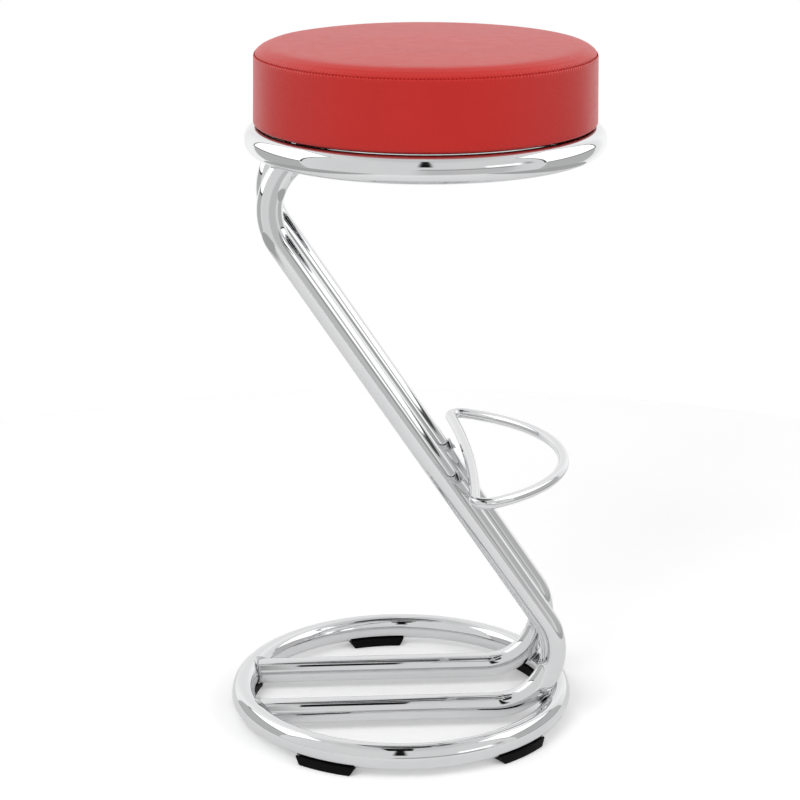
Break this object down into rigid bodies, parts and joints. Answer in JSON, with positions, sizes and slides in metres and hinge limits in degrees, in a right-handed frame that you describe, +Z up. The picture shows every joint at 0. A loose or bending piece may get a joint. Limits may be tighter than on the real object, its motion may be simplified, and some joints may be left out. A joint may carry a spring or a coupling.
{
  "type": "counter stool",
  "caption": "Round padded stool on a chromed frame of rings joined by Z bent tubes, with a looped rod footrest and rubber feet.",
  "frame": {"origin": "on the floor, midway between the middles of the base ring and the seat ring, which is the middle of the stool's box", "axes": "+Z up from the floor; +X towards the side where the footrest loop sticks out, along the planes of the Z bent tubes; +Y across the pair of bent tubes, from the front one to the rear one"},
  "size_m": [0.412, 0.386, 0.7597],
  "materials": {
    "chrome": "polished",
    "weld_metal": "satin",
    "rubber": "matte",
    "zinc": "satin",
    "red_vinyl": "satin",
    "black_cover": "matte",
    "plywood": "matte",
    "foam": "matte"
  },
  "bodies": {
    "root": {"base_ring": "chrome", "seat_ring": "chrome", "bent_tube_front": "chrome", "bent_tube_rear": "chrome", "footrest_loop": "chrome", "weld_front_base_end": "weld_metal", "weld_front_base_bend": "weld_metal", "weld_front_seat_bend": "weld_metal", "weld_front_seat_end": "weld_metal", "weld_front_footrest": "weld_metal", "weld_rear_base_end": "weld_metal", "weld_rear_base_bend": "weld_metal", "weld_rear_seat_bend": "weld_metal", "weld_rear_seat_end": "weld_metal", "weld_rear_footrest": "weld_metal", "rubber_foot_1": "rubber", "rubber_foot_2": "rubber", "rubber_foot_3": "rubber", "rubber_foot_4": "rubber", "rubber_foot_5": "rubber", "foot_screw_1": "zinc", "foot_screw_2": "zinc", "foot_screw_3": "zinc", "foot_screw_4": "zinc", "foot_screw_5": "zinc", "seat_cover": "black_cover", "seat_board": "plywood", "foam_pad": "foam", "vinyl_side_band": "red_vinyl", "vinyl_top_panel": "red_vinyl", "seat_bolt_1": "zinc", "seat_bolt_2": "zinc", "seat_bolt_3": "zinc", "seat_bolt_4": "zinc", "tee_nut_1": "zinc", "tee_nut_2": "zinc", "tee_nut_3": "zinc", "tee_nut_4": "zinc"}
  },
  "joints": []
}
